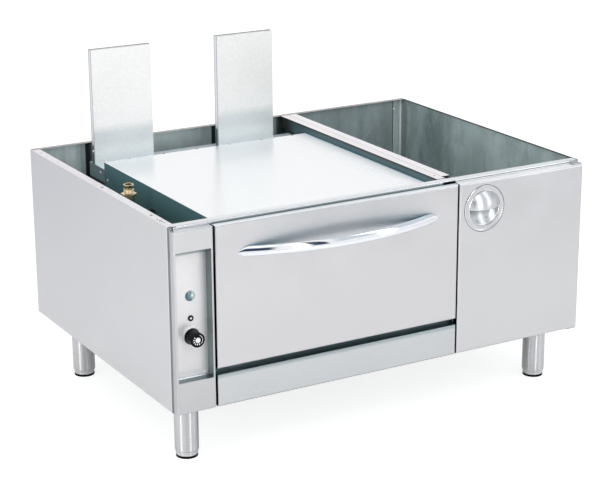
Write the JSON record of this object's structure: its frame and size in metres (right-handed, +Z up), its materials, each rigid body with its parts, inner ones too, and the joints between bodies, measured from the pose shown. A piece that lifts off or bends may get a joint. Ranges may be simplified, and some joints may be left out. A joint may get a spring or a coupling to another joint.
{
  "type": "gas oven base",
  "caption": "Stainless steel gas oven base with a drop-down oven door, a side cabinet, an open top, two flue ducts and round legs.",
  "frame": {"origin": "centre of the footprint on the floor, feet fully screwed in, handle included", "axes": "+Z up, the doors and controls face -Y, +X to the right of someone facing the doors"},
  "size_m": [1.2, 0.9304, 0.888],
  "materials": {
    "stainless_satin": "satin",
    "galvanised": "satin",
    "bright_plated": "gloss",
    "enamel_dark": "gloss",
    "cast_plate": "matte",
    "mineral_wool": "matte",
    "burner_steel": "matte",
    "brass": "satin",
    "pipe_steel": "satin",
    "chrome": "gloss",
    "fastener_steel": "satin",
    "black_plastic": "satin",
    "white_plastic": "gloss",
    "nylon": "matte",
    "gasket": "matte",
    "sight_glass": "gloss"
  },
  "bodies": {
    "body": {"left_side_panel": "stainless_satin", "right_side_panel": "stainless_satin", "back_panel": "stainless_satin", "base_tray": "galvanised", "front_rail": "stainless_satin", "cross_rail": "galvanised", "cabinet_left_wall": "galvanised", "corner_posts": "galvanised", "control_panel": "stainless_satin", "plinth_panel": "stainless_satin", "oven_front_frame": "stainless_satin", "oven_casing": "bright_plated", "oven_liner": "enamel_dark", "oven_insulation": "mineral_wool", "oven_floor_plate": "cast_plate", "flue_box": "bright_plated", "left_flue_duct": "bright_plated", "right_flue_duct": "bright_plated", "burner": "burner_steel", "gas_injector": "brass", "pilot": "burner_steel", "gas_inlet_fitting": "brass", "gas_pipe": "pipe_steel", "pipe_bracket": "galvanised", "thermostat_valve": "brass", "burner_pipe": "pipe_steel", "knob_bezel": "chrome", "igniter_body": "black_plastic", "sight_glass": "sight_glass", "side_racks": "chrome", "door_hinge_brackets": "fastener_steel", "door_pivots": "galvanised", "door_magnet": "black_plastic", "leg_inserts": "galvanised", "panel_screws": "fastener_steel", "front_left_leg": "stainless_satin", "front_right_leg": "stainless_satin", "back_left_leg": "stainless_satin", "back_right_leg": "stainless_satin"},
    "oven_door": {"oven_door_skin": "stainless_satin", "oven_door_inner": "bright_plated", "oven_door_insulation": "mineral_wool", "oven_door_gasket": "gasket", "bow_handle": "chrome", "handle_screws": "fastener_steel", "door_hinge_arms": "fastener_steel"},
    "cabinet_door": {"cabinet_door_skin": "stainless_satin", "cabinet_door_inner": "galvanised", "cup_pull": "chrome", "door_bushes": "nylon", "strike_plate": "bright_plated"},
    "spindle": {"thermostat_spindle": "fastener_steel"},
    "knob": {"thermostat_knob": "black_plastic"},
    "button": {"igniter_button": "white_plastic"},
    "shelf": {"wire_shelf": "chrome"},
    "front_left_foot": {"front_left_foot": "stainless_satin"},
    "front_right_foot": {"front_right_foot": "stainless_satin"},
    "back_left_foot": {"back_left_foot": "stainless_satin"},
    "back_right_foot": {"back_right_foot": "stainless_satin"}
  },
  "joints": [
    {"name": "oven_door_hinge", "type": "hinge", "parent": "body", "child": "oven_door", "pos_m": [-0.142, -0.39675, 0.2545], "axis": [1, 0, 0], "range_deg": [0, 90]},
    {"name": "cabinet_door_hinge", "type": "hinge", "parent": "body", "child": "cabinet_door", "pos_m": [0.5935, -0.39675, 0.383], "axis": [0, 0, 1], "range_deg": [0, 110]},
    {"name": "thermostat_turn", "type": "hinge", "parent": "body", "child": "spindle", "pos_m": [-0.5425, -0.38475, 0.3355], "axis": [0, -1, 0], "range_deg": [0, 270]},
    {"name": "knob_push", "type": "slide", "parent": "spindle", "child": "knob", "axis": [0, 1, 0], "range_m": [0, 0.004], "stiffness_N_per_m": 600, "springref_m": -0.002},
    {"name": "igniter_push", "type": "slide", "parent": "body", "child": "button", "axis": [0, 1, 0], "range_m": [0, 0.004], "stiffness_N_per_m": 500, "springref_m": -0.002},
    {"name": "shelf_slide", "type": "slide", "parent": "body", "child": "shelf", "axis": [0, -1, 0], "range_m": [0, 0.025]},
    {"name": "front_left_foot_level", "type": "slide", "parent": "body", "child": "front_left_foot", "axis": [0, 0, -1], "range_m": [0, 0.025]},
    {"name": "front_right_foot_level", "type": "slide", "parent": "body", "child": "front_right_foot", "axis": [0, 0, -1], "range_m": [0, 0.025]},
    {"name": "back_left_foot_level", "type": "slide", "parent": "body", "child": "back_left_foot", "axis": [0, 0, -1], "range_m": [0, 0.025]},
    {"name": "back_right_foot_level", "type": "slide", "parent": "body", "child": "back_right_foot", "axis": [0, 0, -1], "range_m": [0, 0.025]}
  ]
}
